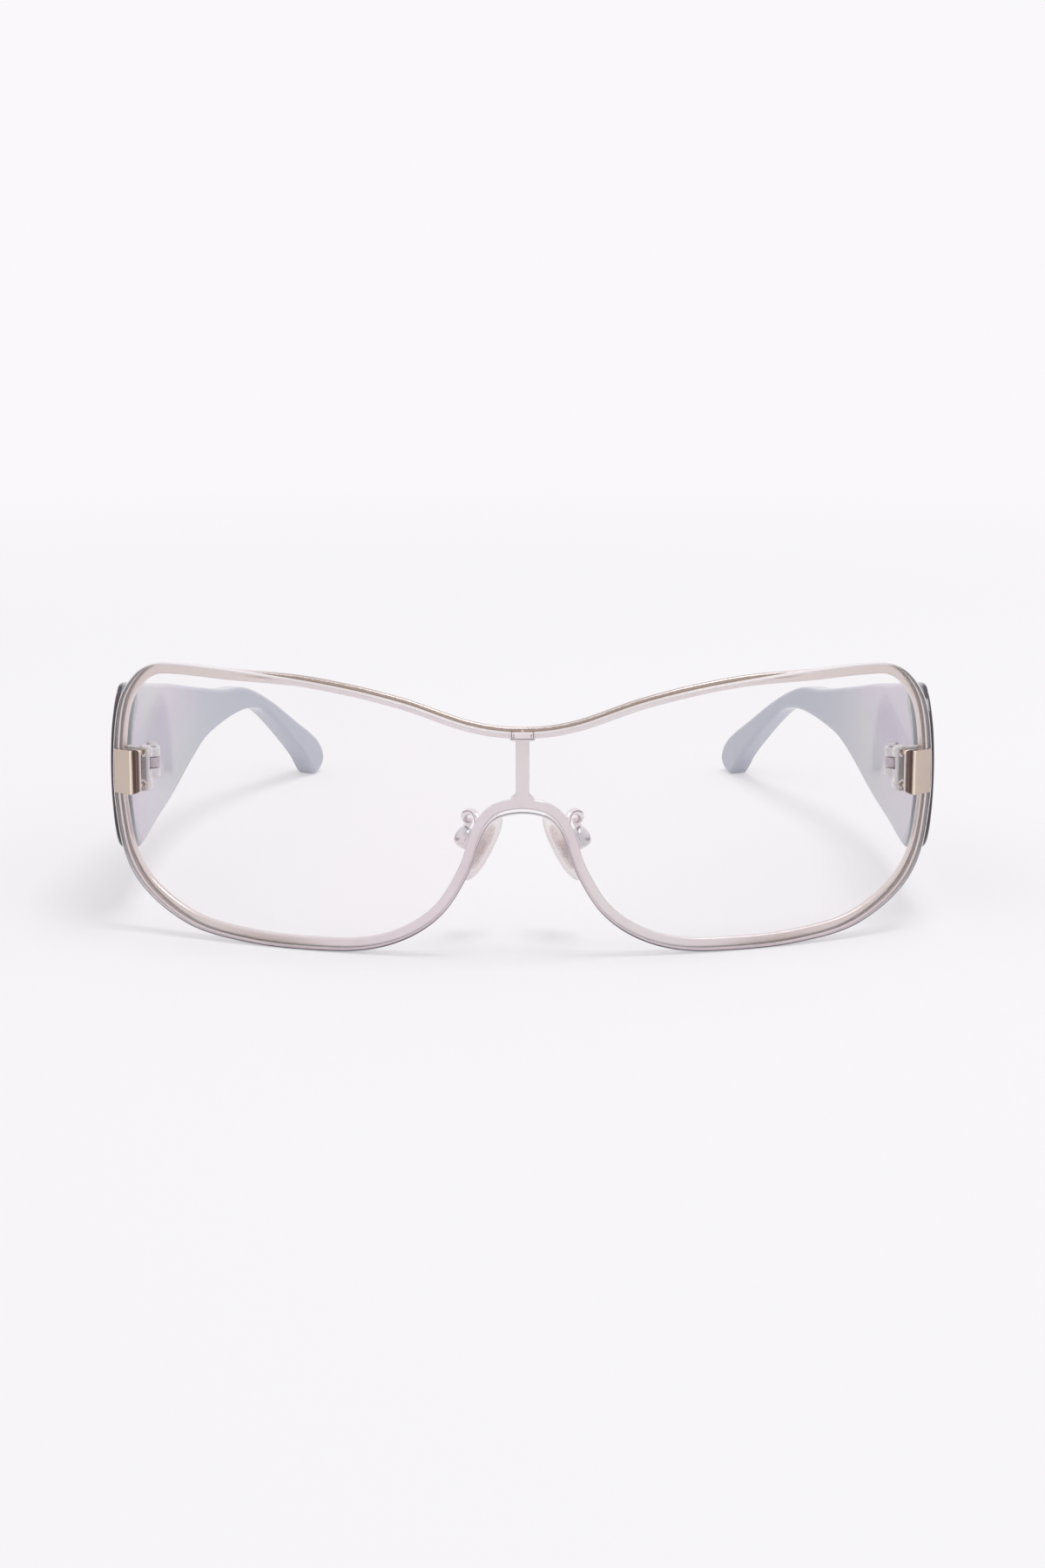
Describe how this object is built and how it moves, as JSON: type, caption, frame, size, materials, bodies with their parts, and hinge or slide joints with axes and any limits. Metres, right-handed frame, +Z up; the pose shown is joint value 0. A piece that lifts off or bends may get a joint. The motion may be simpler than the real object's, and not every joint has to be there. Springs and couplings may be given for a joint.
{
  "type": "shield sunglasses",
  "caption": "Clear wrapped shield lens clamped on a flat metal rim, with hinged acetate temples that fold and soft rocking nose pads.",
  "frame": {"origin": "centre of the footprint on the table the open glasses stand on, under the middle of the bounding box", "axes": "+X to the wearer's left as the lens is seen from in front (to the right of the picture), +Y from the lens towards the temple tips, +Z up"},
  "size_m": [0.146, 0.1424, 0.0484],
  "materials": {
    "clear_lens": "clear, polished, faint rose coating",
    "rim_metal": "bright champagne silver",
    "hinge_steel": "bright steel",
    "temple_acetate": "polished laminate, pearl lilac inside and near-black plum outside",
    "pad_silicone": "soft, clear, faint rose"
  },
  "bodies": {
    "front": {"lens": "clear_lens", "front_rim": "rim_metal", "left_end_block": "rim_metal", "right_end_block": "rim_metal", "left_front_hinge": "hinge_steel", "right_front_hinge": "hinge_steel", "left_hinge_screw": "hinge_steel", "right_hinge_screw": "hinge_steel", "left_upper_nut": "hinge_steel", "right_upper_nut": "hinge_steel", "left_lower_nut": "hinge_steel", "right_lower_nut": "hinge_steel", "left_nose_arm": "rim_metal", "right_nose_arm": "rim_metal", "left_pad_box": "rim_metal", "right_pad_box": "rim_metal", "left_pad_screw": "hinge_steel", "right_pad_screw": "hinge_steel"},
    "left_temple_group": {"left_temple": "temple_acetate", "left_temple_hinge": "hinge_steel", "left_temple_core": "hinge_steel"},
    "right_temple_group": {"right_temple": "temple_acetate", "right_temple_hinge": "hinge_steel", "right_temple_core": "hinge_steel"},
    "left_pad_group": {"left_nose_pad": "pad_silicone", "left_pad_insert": "hinge_steel"},
    "right_pad_group": {"right_nose_pad": "pad_silicone", "right_pad_insert": "hinge_steel"}
  },
  "joints": [
    {"name": "left_temple_fold", "type": "hinge", "parent": "front", "child": "left_temple_group", "pos_m": [-0.06599, -0.04237, 0.02804], "axis": [0, -0.0525, -0.9986], "range_deg": [0, 84]},
    {"name": "right_temple_fold", "type": "hinge", "parent": "front", "child": "right_temple_group", "pos_m": [0.06599, -0.04237, 0.02804], "axis": [0, 0.0525, 0.9986], "range_deg": [0, 73]},
    {"name": "left_pad_rock", "type": "hinge", "parent": "front", "child": "left_pad_group", "pos_m": [-0.00955, -0.05867, 0.01788], "axis": [-0.4703, 0.8813, -0.0458], "range_deg": [-8, 8]},
    {"name": "right_pad_rock", "type": "hinge", "parent": "front", "child": "right_pad_group", "pos_m": [0.00955, -0.05867, 0.01788], "axis": [0.4703, 0.8813, -0.0458], "range_deg": [-8, 8]}
  ]
}
